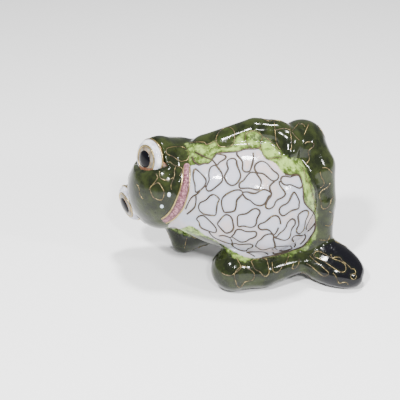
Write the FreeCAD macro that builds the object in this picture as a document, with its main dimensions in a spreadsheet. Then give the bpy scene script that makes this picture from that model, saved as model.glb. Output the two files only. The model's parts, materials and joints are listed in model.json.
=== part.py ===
import FreeCAD, Part
import math
import os
import Sketcher
from FreeCAD import Matrix, Placement, Rotation, Vector

# A hollow cloisonne frog lying on its right side: copper body, gilt wires, glass enamel.
# Millimetres, +Z up.  The frog's head is towards -X and its belly towards -Y.
# The origin is on the table under the middle of the figure.

doc = FreeCAD.newDocument("CloisonneFrog")
sheet = doc.addObject("Spreadsheet::Sheet", "Dims")

DIMS = {
    # layers
    "enamel": 0.8,
    "copper": 0.9,
    "wire_width": 0.4,
    "waist": 0.96,
    # torso, an egg of revolution about its own long axis
    "torso_x": 5.5,
    "torso_y": 0.38,
    "torso_z": 26.4,
    "torso_pitch": 7.0,
    "belly_turn": 16.0,
    "body_radius": 18.6,
    "flank_radius": 60.0,
    "nape_radius": 13.5,
    # enamel fields, as angles round the torso's axis
    "belly_half_angle": 55.0,
    "flank_half_angle": 70.0,
    "wire_angle": 1.3,
    "vent_radius": 0.8,
    "vent_x": 12.0,
    # head, an ellipsoid in its own frame: X nose, Y left ear, Z crown
    "head_x": -25.17,
    "head_y": -1.72,
    "head_z": 28.9,
    "head_front": 9.5,
    "head_side": 13.5,
    "head_crown": 11.5,
    "lip_width": 2.0,
    # eyes
    "eye_radius": 6.1,
    "fold_radius": 4.8,
    "fold_length": 8.7,
    "eye_rim_level": 3.2,
    "eye_white_level": 4.75,
    "eye_iris_level": 5.75,
    "rim_half": 0.22,
    "rim_proud": 0.15,
    "nostril_radius": 0.75,
    # feet
    "foot_long": 11.0,
    "foot_wide": 5.0,
    "foot_thick": 4.6,
    "ground_depth": 12.0,
}

# Joint centres and flesh radii: x, y, z, radius.
JOINTS = {
    "left_shoulder": (-11.57, 0.48, 41.3, 4.6),
    "left_elbow": (3.33, 1.28, 47.2, 4.0),
    "left_wrist": (10.43, 0.58, 47.0, 3.7),
    "left_palm": (13.83, -1.52, 45.2, 3.9),
    "left_fingers": (13.83, -4.62, 42.9, 2.8),
    "right_shoulder": (-8.17, 3.08, 12.3, 4.2),
    "right_elbow": (-18.37, 10.18, 4.15, 4.3),
    "right_hand": (-23.27, 8.78, 17.6, 3.6),
    "left_hip": (14.73, 7.38, 33.0, 8.0),
    "left_knee": (17.93, 3.08, 42.2, 7.3),
    "left_calf": (22.23, 0.68, 35.4, 6.2),
    "left_shin": (23.73, -1.92, 25.2, 5.2),
    "left_ankle": (23.33, -2.22, 14.1, 5.1),
    "right_hip": (13.23, 4.38, 7.05, 7.2),
    "right_knee": (-2.87, -12.22, 6.65, 6.8),
    "right_shin": (6.13, -11.22, 5.5, 5.4),
    "right_ankle": (16.93, -7.62, 6.6, 3.8),
    "left_eye": (-25.37, -1.12, 40.0, 6.1),
    "right_eye": (-31.87, 6.28, 21.5, 6.1),
}

HEAD_AXES = (Vector(-0.846, -0.533, -0.012), Vector(0.235, -0.394, 0.889))
EYE_NORMALS = {
    "left": Vector(-0.78, -0.61, 0.18),
    "right": Vector(-0.87, -0.35, -0.34),
}
LIMBS = {
    "left_arm": ("left_shoulder", "left_elbow", "left_wrist", "left_palm", "left_fingers"),
    "right_arm": ("right_shoulder", "right_elbow", "right_hand"),
    "left_leg": ("left_hip", "left_knee", "left_calf", "left_shin", "left_ankle"),
    "right_leg": ("right_hip", "right_knee", "right_shin", "right_ankle"),
}
FEET = {
    "left": (Vector(28.73, -6.22, 7.4), Vector(0.807, -0.484, -0.339)),
    "right": (Vector(27.03, -9.62, 4.9), Vector(0.924, -0.323, -0.203)),
}

# Cells of the belly: across, up, length, width and turn in degrees, seen along the belly's normal.
BELLY_CELLS = [
    (-16.2, 4.2, 4.4, 1.8, 70), (-12.6, 5.4, 6.0, 2.6, 80), (-8.6, 7.6, 6.6, 3.2, 88),
    (-4.2, 9.2, 4.4, 3.0, 80), (0.8, 7.4, 6.4, 3.0, -38), (-3.2, 4.8, 4.8, 3.4, 20),
    (9.2, 4.6, 4.8, 2.2, 0), (-13.6, -1.4, 5.4, 4.2, 40), (-8.0, -0.8, 5.8, 4.0, 70),
    (-1.0, 0.8, 7.2, 4.0, 0), (5.2, 0.6, 7.0, 1.9, 62), (9.4, -2.2, 6.4, 3.4, 52),
    (-9.4, -6.4, 4.6, 4.0, 80), (-3.4, -5.0, 5.8, 4.4, 20), (-14.8, -6.6, 5.4, 3.0, -30),
    (2.6, -6.4, 5.6, 3.6, 20), (7.4, -7.8, 6.2, 2.0, 52), (-4.6, -10.2, 6.4, 3.0, 0),
    (1.8, -12.0, 5.2, 3.2, 18),
]
# Cells of the back, seen along the back's normal.
BACK_CELLS = [
    (-14.0, 6.0, 5.0, 3.6, 20), (-7.5, 9.0, 6.0, 4.0, -30), (0.0, 10.5, 5.2, 4.0, 10),
    (7.5, 8.0, 6.0, 3.6, 60), (-12.5, -1.0, 5.6, 4.2, 80), (-5.0, 2.2, 6.4, 4.4, 15),
    (3.0, 3.6, 5.4, 4.6, -50), (11.0, 1.2, 6.0, 3.8, 85), (-9.0, -7.2, 5.6, 4.0, -20),
    (-1.4, -5.0, 6.6, 4.2, 40), (6.0, -4.6, 5.4, 4.0, -75), (-3.0, -11.4, 5.6, 3.6, 5),
    (4.6, -11.6, 5.6, 3.8, -15),
]

# Cells on the limbs: along the bone from its middle, across, length, width and turn.
LIMB_CELLS = {
    "left_arm": ("left_shoulder", "left_elbow",
                 [(-3.6, -0.2, 4.6, 2.6, 12), (3.0, 0.4, 5.0, 2.8, -10)]),
    "right_arm": ("right_elbow", "right_shoulder", [(-3.0, 0.2, 4.2, 2.6, 20)]),
    "left_leg": ("left_calf", "left_ankle",
                 [(-7.6, 0.2, 4.2, 3.0, 70), (-1.6, 0.6, 5.4, 2.8, 15), (5.2, 0.4, 4.8, 2.8, -12)]),
    "right_leg": ("right_knee", "right_ankle",
                  [(-8.6, 0.6, 5.6, 4.0, 70), (-2.6, 0.4, 4.6, 3.2, -25), (2.8, 0.2, 3.8, 2.4, 25)]),
}
# Loops that mark the toes, in the right foot's own plane.
TOE_CELLS = [(-0.6, 1.6, 11.0, 1.9, -3), (-1.2, -1.2, 10.0, 1.9, -7), (6.6, 0.9, 1.9, 1.6, 0)]
# Cells on the face, seen from in front: towards the left ear, up, length, width, turn.
FACE_CELLS = [(0.2, 2.4, 5.0, 3.4, 20), (-3.6, -2.4, 4.4, 3.0, -30), (3.8, -1.6, 4.6, 3.0, 40),
              (4.6, 4.2, 3.6, 2.4, -15)]
NOSTRILS = [(1.9, -7.6), (-1.9, -7.6)]
FRONT = Vector(0, -0.88, 0.47)

failures = []


def fill_sheet():
    rows = [(name, value) for name, value in DIMS.items()]
    for joint, numbers in JOINTS.items():
        rows += [(f"{joint}_{part}", number) for part, number in zip(("px", "py", "pz", "pr"), numbers)]
    for row, (name, value) in enumerate(rows, 1):
        sheet.set(f"A{row}", name)
        sheet.set(f"B{row}", str(value))
        sheet.setAlias(f"B{row}", name)
    doc.recompute()


def dim(name):
    return float(sheet.get(name))


def bind(obj, **expressions):
    for prop, expression in expressions.items():
        obj.setExpression(prop, expression)
    return obj


def part(kind, name, **expressions):
    return bind(doc.addObject("Part::" + kind, name), **expressions)


def cut(name, base, *tools):
    result = doc.addObject("Part::Cut", name)
    result.Base = base
    if len(tools) == 1:
        result.Tool = tools[0]
    else:
        result.Tool = fuse(name + "_tools", *tools)
    return result


def fuse(name, *shapes):
    result = doc.addObject("Part::MultiFuse", name)
    result.Shapes = list(shapes)
    return result


def common(name, *shapes):
    result = doc.addObject("Part::MultiCommon", name)
    result.Shapes = list(shapes)
    return result


# ---------------------------------------------------------------- torso

def torso_place(turn):
    """The torso's frame: X from the neck to the rump, Y along the field's middle."""
    pitch = Rotation(Vector(0, 1, 0), dim("torso_pitch"))
    roll = Rotation(Vector(1, 0, 0), 180.0 - dim("belly_turn") + turn)
    centre = Vector(dim("torso_x"), dim("torso_y"), dim("torso_z"))
    return Placement(centre, pitch.multiply(roll))


def egg_points(offset):
    """Where the rump, flank and nape arcs of the egg meet, for a surface offset from the skin."""
    big, flank, nape = dim("body_radius"), dim("flank_radius"), dim("nape_radius")
    nape_x = -math.sqrt((flank - nape) ** 2 - (flank - big) ** 2)
    lean = math.atan2(-nape_x, flank - big)
    reach = nape + offset
    meet = Vector(nape_x - reach * math.sin(lean), reach * math.cos(lean), 0)
    return {
        "rump": Vector(big + offset, 0, 0),
        "top": Vector(0, big + offset, 0),
        "meet": meet,
        "tip": Vector(nape_x - reach, 0, 0),
        "nape": Vector(nape_x, 0, 0),
        "flank": Vector(0, big - flank, 0),
        "lean": lean,
    }


def egg_arcs(sketch, offset, tag):
    """Draw the egg's half outline as three tangent arcs and bind their radii to the sheet."""
    p = egg_points(offset)
    big, flank, nape = dim("body_radius"), dim("flank_radius"), dim("nape_radius")
    normal = Vector(0, 0, 1)
    lean = p["lean"]
    rump = sketch.addGeometry(
        Part.ArcOfCircle(Part.Circle(Vector(0, 0, 0), normal, big + offset), 0, math.pi / 2))
    side = sketch.addGeometry(
        Part.ArcOfCircle(Part.Circle(p["flank"], normal, flank + offset),
                         math.pi / 2, math.pi / 2 + lean))
    neck = sketch.addGeometry(
        Part.ArcOfCircle(Part.Circle(p["nape"], normal, nape + offset),
                         math.pi / 2 + lean, math.pi))
    add = sketch.addConstraint
    add(Sketcher.Constraint("Coincident", rump, 3, -1, 1))
    add(Sketcher.Constraint("PointOnObject", rump, 1, -1))
    add(Sketcher.Constraint("PointOnObject", rump, 2, -2))
    add(Sketcher.Constraint("PointOnObject", side, 3, -2))
    add(Sketcher.Constraint("Coincident", rump, 2, side, 1))
    add(Sketcher.Constraint("Tangent", side, 2, neck, 1))
    add(Sketcher.Constraint("PointOnObject", neck, 3, -1))
    add(Sketcher.Constraint("PointOnObject", neck, 2, -1))
    for index, (arc, radius) in enumerate(((rump, big), (side, flank), (neck, nape))):
        constraint = add(Sketcher.Constraint("Radius", arc, radius + offset))
        sketch.renameConstraint(constraint, f"{tag}_radius_{index}")
    return rump, neck


def bind_arcs(sketch, tag, offset_expression):
    for index, base in enumerate(("body_radius", "flank_radius", "nape_radius")):
        sketch.setExpression(f"Constraints.{tag}_radius_{index}",
                             f"Dims.{base} {offset_expression}")


def origin_plane(body, role):
    return next(f for f in body.Origin.OriginFeatures if f.Role == role)


def egg_body(name, outer, outer_expression, inner=None, inner_expression="", turn=0.0,
             angle="360", vent=False):
    """A sector of the egg: solid to its axis, or a ring between two offsets of the skin."""
    body = doc.addObject("PartDesign::Body", name)
    body.Label = name
    sketch = body.newObject("Sketcher::SketchObject", name + "_profile")
    sketch.AttachmentSupport = [(origin_plane(body, "XY_Plane"), "")]
    sketch.MapMode = "FlatFace"
    rump, neck = egg_arcs(sketch, outer, "outer")
    line = sketch.addGeometry
    if inner is None:
        p = egg_points(outer)
        axis = line(Part.LineSegment(p["tip"], p["rump"]))
        sketch.addConstraint(Sketcher.Constraint("Coincident", axis, 1, neck, 2))
        sketch.addConstraint(Sketcher.Constraint("Coincident", axis, 2, rump, 1))
    else:
        p, q = egg_points(outer), egg_points(inner)
        rump_in, neck_in = egg_arcs(sketch, inner, "inner")
        back = line(Part.LineSegment(q["rump"], p["rump"]))
        front = line(Part.LineSegment(p["tip"], q["tip"]))
        for segment, end, arc, point in ((back, 1, rump_in, 1), (back, 2, rump, 1),
                                         (front, 1, neck, 2), (front, 2, neck_in, 2)):
            sketch.addConstraint(Sketcher.Constraint("Coincident", segment, end, arc, point))
        bind_arcs(sketch, "inner", inner_expression)
    bind_arcs(sketch, "outer", outer_expression)
    turned = body.newObject("PartDesign::Revolution", name + "_turned")
    turned.Profile = sketch
    turned.ReferenceAxis = (sketch, ["H_Axis"])
    turned.Midplane = True
    turned.setExpression("Angle", angle)
    sketch.Visibility = False
    if vent:
        hole = body.newObject("Sketcher::SketchObject", name + "_vent")
        hole.AttachmentSupport = [(origin_plane(body, "XZ_Plane"), "")]
        hole.MapMode = "FlatFace"
        circle = hole.addGeometry(
            Part.Circle(Vector(dim("vent_x"), 0, 0), Vector(0, 0, 1), dim("vent_radius")))
        for kind, value, alias in (("Radius", dim("vent_radius"), "vent_radius"),
                                   ("DistanceX", dim("vent_x"), "vent_x")):
            points = (circle,) if kind == "Radius" else (-1, 1, circle, 3)
            constraint = hole.addConstraint(Sketcher.Constraint(kind, *points, value))
            hole.renameConstraint(constraint, alias)
            hole.setExpression("Constraints." + alias, "Dims." + alias)
        hole.addConstraint(Sketcher.Constraint("PointOnObject", circle, 3, -1))
        doc.recompute()
        before = body.Shape.Volume
        pocket = body.newObject("PartDesign::Pocket", name + "_vent_hole")
        pocket.Profile = hole
        pocket.Type = "ThroughAll"
        pocket.Reversed = False
        doc.recompute()
        if not body.Shape.Volume < before - 0.1:
            failures.append(name + ": vent hole cuts nothing")
    body.Placement = torso_place(turn)
    return body


def cell_stamp(name, cells, place, depth):
    """Upright elliptical walls, one for each cell, deep enough to cross the enamel."""
    half = dim("wire_width") / 2
    walls = []
    for across, up, length, width, turn in cells:
        prisms = []
        for grow in (half, -half):
            ring = Part.Ellipse(Vector(0, 0, 0), length / 2 + grow, width / 2 + grow)
            face = Part.Face(Part.Wire([ring.toShape()]))
            prisms.append(face.extrude(Vector(0, 0, depth)))
        wall = prisms[0].cut(prisms[1])
        wall.Placement = Placement(Vector(across, up, 0), Rotation(Vector(0, 0, 1), turn))
        walls.append(wall)
    stamp = doc.addObject("Part::Feature", name)
    stamp.Shape = Part.makeCompound(walls)
    stamp.Placement = place
    return stamp


def facing_place(turn):
    """The torso's frame looked at from outside: X along the axis, Z out of the field."""
    return torso_place(turn).multiply(Placement(Vector(0, 0, 0), Rotation(Vector(1, 0, 0), -90)))


def inlay(out, name, layer, stamp):
    """Part an enamel layer into its wires and the enamel between them."""
    out[name + "_cell_wires"] = common(name + "_cell_wires", layer, stamp)
    out[name + "_enamel"] = cut(name + "_enamel", layer, stamp)


def build_torso(out):
    skin, core, hollow = "+ 0", "- Dims.enamel", "- Dims.enamel - Dims.copper"
    e, c = dim("enamel"), dim("copper")
    out["torso_shell_front"] = egg_body("torso_shell_front", -e, core, -e - c, hollow, 0, "180")
    out["torso_shell_back"] = egg_body("torso_shell_back", -e, core, -e - c, hollow, 180, "180",
                                       vent=True)
    belly = egg_body("belly_sector", 0, skin, -e, core, 0,
                     "2 * Dims.belly_half_angle - Dims.wire_angle")
    back = egg_body("back_sector", 0, skin, -e, core, 180,
                    "360 - 2 * Dims.flank_half_angle - Dims.wire_angle", vent=True)
    middle = (dim("belly_half_angle") + dim("flank_half_angle")) / 2
    for side, sign in (("upper", 1), ("lower", -1)):
        name = "flank_enamel_" + side
        out[name] = egg_body(name, 0, skin, -e, core, sign * middle,
                             "Dims.flank_half_angle - Dims.belly_half_angle - Dims.wire_angle")
        for field, alias in (("belly", "belly_half_angle"), ("flank", "flank_half_angle")):
            name = f"{field}_wire_{side}"
            out[name] = egg_body(name, 0, skin, -e, core, sign * dim(alias), "Dims.wire_angle")
    for field, sector, cells, turn in (("belly", belly, BELLY_CELLS, 0),
                                       ("back", back, BACK_CELLS, 180)):
        stamp = cell_stamp(field + "_stamp", cells, facing_place(turn), dim("body_radius") + 2)
        inlay(out, field, sector, stamp)


# ---------------------------------------------------------------- head and limbs

def joint_ball(name, joint, offset):
    """A ball at a joint, turned so that its poles and seam lie clear of the bones' edges."""
    at = f"Dims.{joint}_p"
    turn = 45 if name.startswith("right_arm") else 90
    ball = part("Sphere", name, Radius=f"{at}r {offset}")
    ball.setExpression(
        "Placement",
        f"placement(vector({at}x; {at}y; {at}z); rotation(vector(1; 0; 0); {turn}))")
    return ball


def bone(name, start, end, offset):
    """A cone between two joint balls, a little slimmer than they are."""
    a, b = f"Dims.{start}_p", f"Dims.{end}_p"
    dx, dy, dz = (f"({b}{axis} - {a}{axis})" for axis in "xyz")
    flat = f"sqrt(pow({dx}; 2) + pow({dy}; 2))"
    cone = part("Cone", name, Radius1=f"({a}r {offset}) * Dims.waist",
                Radius2=f"({b}r {offset}) * Dims.waist",
                Height=f"sqrt(pow({dx}; 2) + pow({dy}; 2) + pow({dz}; 2))")
    cone.setExpression(
        "Placement", f"placement(vector({a}x; {a}y; {a}z); "
                     f"rotation(vector(-1 * {dy}; {dx}; 0); atan2({flat}; {dz})))")
    return cone


def limb_solid(name, joints, offset):
    pieces = [joint_ball(f"{name}_{joint}", joint, offset) for joint in joints]
    pieces += [bone(f"{name}_{a}_to_{b}", a, b, offset) for a, b in zip(joints, joints[1:])]
    return fuse(name, *pieces)


def ellipsoid(name, place, radii, offset):
    solid = part("Ellipsoid", name, Radius1=f"Dims.{radii[2]} {offset}",
                 Radius2=f"Dims.{radii[0]} {offset}", Radius3=f"Dims.{radii[1]} {offset}")
    solid.Angle1, solid.Angle2, solid.Angle3 = -90, 90, 360
    solid.Placement = place
    return solid


def frame_place(centre, x_axis, y_axis):
    x = Vector(x_axis).normalize()
    z = x.cross(y_axis).normalize()
    return Placement(centre, Rotation(x, z.cross(x), z, "ZXY"))


def eye_place(side):
    joint = JOINTS[side + "_eye"]
    return Placement(Vector(*joint[:3]), Rotation(Vector(0, 0, 1), EYE_NORMALS[side]))


def eye_band(name, side, low, high, proud="", inner="- Dims.enamel"):
    """A ring of the eyeball's outer layer between two heights along the eye's axis."""
    outer = f"(Dims.eye_radius {proud})"
    ball = part("Sphere", name + "_ball", Radius=outer)
    ball.setExpression("Angle1", f"asin(({low}) / {outer})" if low else "-90")
    ball.setExpression("Angle2", f"asin(({high}) / {outer})" if high else "90")
    core = part("Sphere", name + "_core", Radius=f"Dims.eye_radius {inner}")
    for solid in (ball, core):
        solid.Placement = eye_place(side)
    return cut(name, ball, core)


def fold(name, side, offset):
    """The ridge behind an eye, which runs back into the neck."""
    place = eye_place(side)
    cone = part("Cone", name + "_cone", Radius1=f"(Dims.eye_radius {offset}) * Dims.waist",
                Radius2=f"(Dims.fold_radius {offset}) * Dims.waist", Height="Dims.fold_length")
    ball = part("Sphere", name + "_ball", Radius=f"Dims.fold_radius {offset}")
    turned = Rotation(Vector(0, 0, 1), EYE_NORMALS[side] * -1)
    cone.Placement = Placement(place.Base, turned)
    behind = EYE_NORMALS[side].normalize() * -dim("fold_length")
    ball.Placement = Placement(place.Base + behind, Rotation())
    return [cone, ball]


def head_solid(name, offset):
    """The skull with its eyeballs and folds; only the skull is hollow."""
    centre = Vector(dim("head_x"), dim("head_y"), dim("head_z"))
    place = frame_place(centre, HEAD_AXES[0], HEAD_AXES[1])
    skull = ellipsoid(name + "_skull", place, ("head_front", "head_side", "head_crown"), offset)
    if offset == OFFSETS["void"]:
        return skull
    pieces = [skull]
    for side in ("left", "right"):
        pieces.append(joint_ball(f"{name}_{side}_eyeball", side + "_eye", offset))
        pieces += fold(f"{name}_{side}_fold", side, offset)
    return fuse(name, *pieces)


def foot_solid(name, side, offset):
    """A foot with its poles at the heel and the toes."""
    centre, along = FEET[side]
    place = frame_place(centre, along, Vector(0.3, 0.95, 0))
    place = place.multiply(Placement(Vector(0, 0, 0), Rotation(Vector(0, 1, 0), 90)))
    return ellipsoid(name, place, ("foot_thick", "foot_wide", "foot_long"), offset)


OFFSETS = {"skin": "+ 0", "core": "- Dims.enamel", "void": "- Dims.enamel - Dims.copper"}


def layers(name, maker, wanted=("skin", "core", "void")):
    """The skin, core and void of one limb: enamel lies between the first two, copper below."""
    return {layer: maker(f"{name}_{layer}", OFFSETS[layer]) for layer in wanted}


def bone_stamp(name):
    """The walls of a limb's cells, seen from the figure's front with X along the bone."""
    start, end, cells = LIMB_CELLS[name]
    a, b = Vector(*JOINTS[start][:3]), Vector(*JOINTS[end][:3])
    along = (b - a).normalize()
    place = frame_place((a + b) * 0.5, along, FRONT.cross(along))
    return cell_stamp(name + "_stamp", cells, place, 9.0)


def clad(out, name, solids, stamp, *cutters):
    hollow = [solids["void"]] if "void" in solids else []
    out[name + "_copper"] = cut(name + "_copper", solids["core"], *hollow, *cutters)
    if stamp:
        layer = cut(name + "_layer", solids["skin"], solids["core"], *cutters)
        inlay(out, name, layer, stamp)
    else:
        out[name + "_enamel"] = cut(name + "_enamel", solids["skin"], solids["core"], *cutters)


def build_head(out, torso):
    head = layers("head", head_solid)
    lids = []
    for side in ("left", "right"):
        lid = part("Sphere", f"{side}_eye_opening", Radius="Dims.eye_radius + 0.6")
        lid.setExpression("Angle1", "asin((Dims.eye_rim_level - Dims.rim_half)"
                                    " / (Dims.eye_radius + 0.6))")
        lid.Placement = eye_place(side)
        lids.append(lid)
        rim, white, iris = "Dims.eye_rim_level", "Dims.eye_white_level", "Dims.eye_iris_level"
        half, proud = "Dims.rim_half", "+ Dims.rim_proud"
        bands = (
            ("outer_rim", f"{rim} - {half}", f"{rim} + {half}", proud),
            ("white", f"{rim} + {half}", f"{white} - {half}", ""),
            ("inner_rim", f"{white} - {half}", f"{white} + {half}", proud),
            ("iris", f"{white} + {half}", iris, ""),
            ("pupil", iris, "", ""),
        )
        for band, low, high, stand in bands:
            name = f"{side}_eye_{band}"
            out[name] = eye_band(name, side, low, high, stand)
    out["head_copper"] = cut("head_copper", head["core"], head["void"], torso)
    skin = cut("head_skin_layer", head["skin"], head["core"], torso, *lids)
    chin = part("Box", "chin_side", Length="40", Width="60", Height="40")
    place = frame_place(Vector(dim("head_x"), dim("head_y"), dim("head_z")), *HEAD_AXES)
    chin.Placement = place.multiply(Placement(Vector(-20, -30, -40), Rotation()))
    width, wire = "Dims.lip_width", "Dims.wire_width"
    bands = {
        "lip_wire_throat": (None, f"+ {wire}", dim("wire_width")),
        "lip_enamel": ("lip_wire_throat", f"+ {width}", dim("lip_width")),
        "lip_wire_face": ("lip_enamel", f"+ {width} + {wire}",
                          dim("lip_width") + dim("wire_width")),
    }
    inside = None
    for name, (_, expression, offset) in bands.items():
        egg = egg_body(name + "_reach", offset, expression)
        band = common(name + "_band", skin, egg, chin)
        out[name] = cut(name, band, inside) if inside else band
        inside = egg
    mouth = common("mouth", egg, chin)
    dots = [part("Sphere", f"nostril_ball_{i}", Radius="Dims.nostril_radius") for i in (0, 1)]
    for dot, (ear, up) in zip(dots, NOSTRILS):
        front = dim("head_front") * math.sqrt(
            1 - (ear / dim("head_side")) ** 2 - (up / dim("head_crown")) ** 2)
        dot.Placement = Placement(place.multVec(Vector(front, ear, up)), Rotation())
    nostrils = fuse("nostril_balls", *dots)
    face = cut("face_layer", skin, mouth)
    out["nostril_dots"] = common("nostril_dots", face, nostrils)
    seen = place.multiply(Placement(Vector(0, 0, 0), Rotation(
        Vector(0, 1, 0), Vector(0, 0, 1), Vector(1, 0, 0), "ZXY")))
    stamp = cell_stamp("face_stamp", FACE_CELLS, seen, dim("head_front") + 3)
    inlay(out, "head", cut("face_plain", face, nostrils), stamp)
    return head["skin"]


def build():
    out = {}
    fill_sheet()
    build_torso(out)
    torso = egg_body("torso_skin", 0, "+ 0")
    ground = part("Box", "ground", Length="200", Width="200", Height="Dims.ground_depth")
    ground.Placement = Placement(Vector(-100, -100, -dim("ground_depth")), Rotation())
    head = build_head(out, torso)
    limb = {name: layers(name, lambda tag, offset, joints=joints: limb_solid(tag, joints, offset))
            for name, joints in LIMBS.items()}
    foot = {side: layers(side + "_foot", lambda tag, offset, side=side: foot_solid(tag, side, offset),
                         ("skin", "core"))
            for side in FEET}
    right_leg, left_leg = limb["right_leg"]["skin"], limb["left_leg"]["skin"]
    right_foot = foot["right"]["skin"]
    centre, along = FEET["right"]
    toes = cell_stamp("toe_stamp", TOE_CELLS, frame_place(centre, along, FRONT.cross(along)), 9.0)
    others = {
        "right_leg": (torso, ground),
        "left_leg": (torso, right_leg),
        "left_arm": (torso, head, left_leg),
        "right_arm": (torso, head, ground),
    }
    for name, cutters in others.items():
        clad(out, name, limb[name], bone_stamp(name), *cutters)
    clad(out, "right_foot", foot["right"], toes, right_leg, left_leg, ground)
    clad(out, "left_foot", foot["left"], None, right_leg, left_leg, right_foot, ground)
    doc.recompute()
    return out


def check_and_write(out):
    for obj in doc.Objects:
        if any(word in obj.State for word in ("Invalid", "Error")):
            failures.append(f"{obj.Name}: {obj.State}")
    for name, obj in out.items():
        obj.Label = name
        if obj.Shape.isNull() or not obj.Shape.isValid() or not obj.Shape.Solids:
            failures.append(name + ": bad shape")
    if failures:
        raise RuntimeError("; ".join(failures))
    os.makedirs("parts", exist_ok=True)
    for name, obj in out.items():
        obj.Shape.exportStep(f"parts/{name}.step")
        print(name, len(obj.Shape.Solids), round(obj.Shape.Volume, 1))


check_and_write(build())
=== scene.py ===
import json
import math

import bmesh
import bpy
import numpy as np
from bpy.props import FloatProperty, FloatVectorProperty, IntProperty, PointerProperty
from mathutils import Matrix, Vector
from mathutils.bvhtree import BVHTree
from mathutils.kdtree import KDTree

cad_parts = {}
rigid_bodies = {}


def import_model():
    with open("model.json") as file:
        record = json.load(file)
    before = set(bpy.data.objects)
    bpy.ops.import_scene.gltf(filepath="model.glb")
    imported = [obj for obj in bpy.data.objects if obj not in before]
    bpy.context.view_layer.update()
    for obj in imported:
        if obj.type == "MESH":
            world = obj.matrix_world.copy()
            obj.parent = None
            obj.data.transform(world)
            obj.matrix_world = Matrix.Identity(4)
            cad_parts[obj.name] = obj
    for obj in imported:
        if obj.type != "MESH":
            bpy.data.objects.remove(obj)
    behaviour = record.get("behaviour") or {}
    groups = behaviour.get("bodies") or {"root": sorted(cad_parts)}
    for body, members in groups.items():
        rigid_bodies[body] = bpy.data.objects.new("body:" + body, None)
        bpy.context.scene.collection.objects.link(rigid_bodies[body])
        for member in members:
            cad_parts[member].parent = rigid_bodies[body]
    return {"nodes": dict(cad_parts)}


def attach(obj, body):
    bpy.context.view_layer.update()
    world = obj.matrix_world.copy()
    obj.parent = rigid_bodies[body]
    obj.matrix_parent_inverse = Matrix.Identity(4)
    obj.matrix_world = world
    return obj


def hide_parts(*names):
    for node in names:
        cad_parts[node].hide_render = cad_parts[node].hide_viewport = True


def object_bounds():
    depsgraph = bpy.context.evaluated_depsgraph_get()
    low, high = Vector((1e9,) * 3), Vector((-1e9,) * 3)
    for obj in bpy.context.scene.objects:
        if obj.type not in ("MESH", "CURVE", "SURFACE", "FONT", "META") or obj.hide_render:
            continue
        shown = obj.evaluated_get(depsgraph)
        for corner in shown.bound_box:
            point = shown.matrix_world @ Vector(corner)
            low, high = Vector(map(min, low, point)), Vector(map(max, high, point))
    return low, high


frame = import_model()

bl_info = {
    "name": "Cloisonne Frog",
    "version": (1, 0, 0),
    "blender": (4, 5, 0),
    "location": "View3D > Sidebar > Frog",
    "description": "Glass enamel, gilt wires and eyes for a small copper frog that lies on its side",
    "category": "Object",
}

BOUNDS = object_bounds()
MM = 0.001

# The wires are drawn on a flat sheet that leans back 28 degrees and faces the belly.
# A drawn point is (across, up) in millimetres, and is pressed onto the skin square to the sheet.
# A line's points are LINE_STEP millimetres apart, and it breaks where it would LEAP off an edge.
# WIRE_SINK is how deep a wire sits in the enamel, as a share of its thickness.
LEAN = math.radians(28)
SHEET_UP = Vector((0, math.sin(LEAN), math.cos(LEAN)))
SHEET_OUT = Vector((0, -math.cos(LEAN), math.sin(LEAN)))
LINE_STEP = 0.45
LEAP = 1.6 * MM
WIRE_SINK = 0.12

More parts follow.
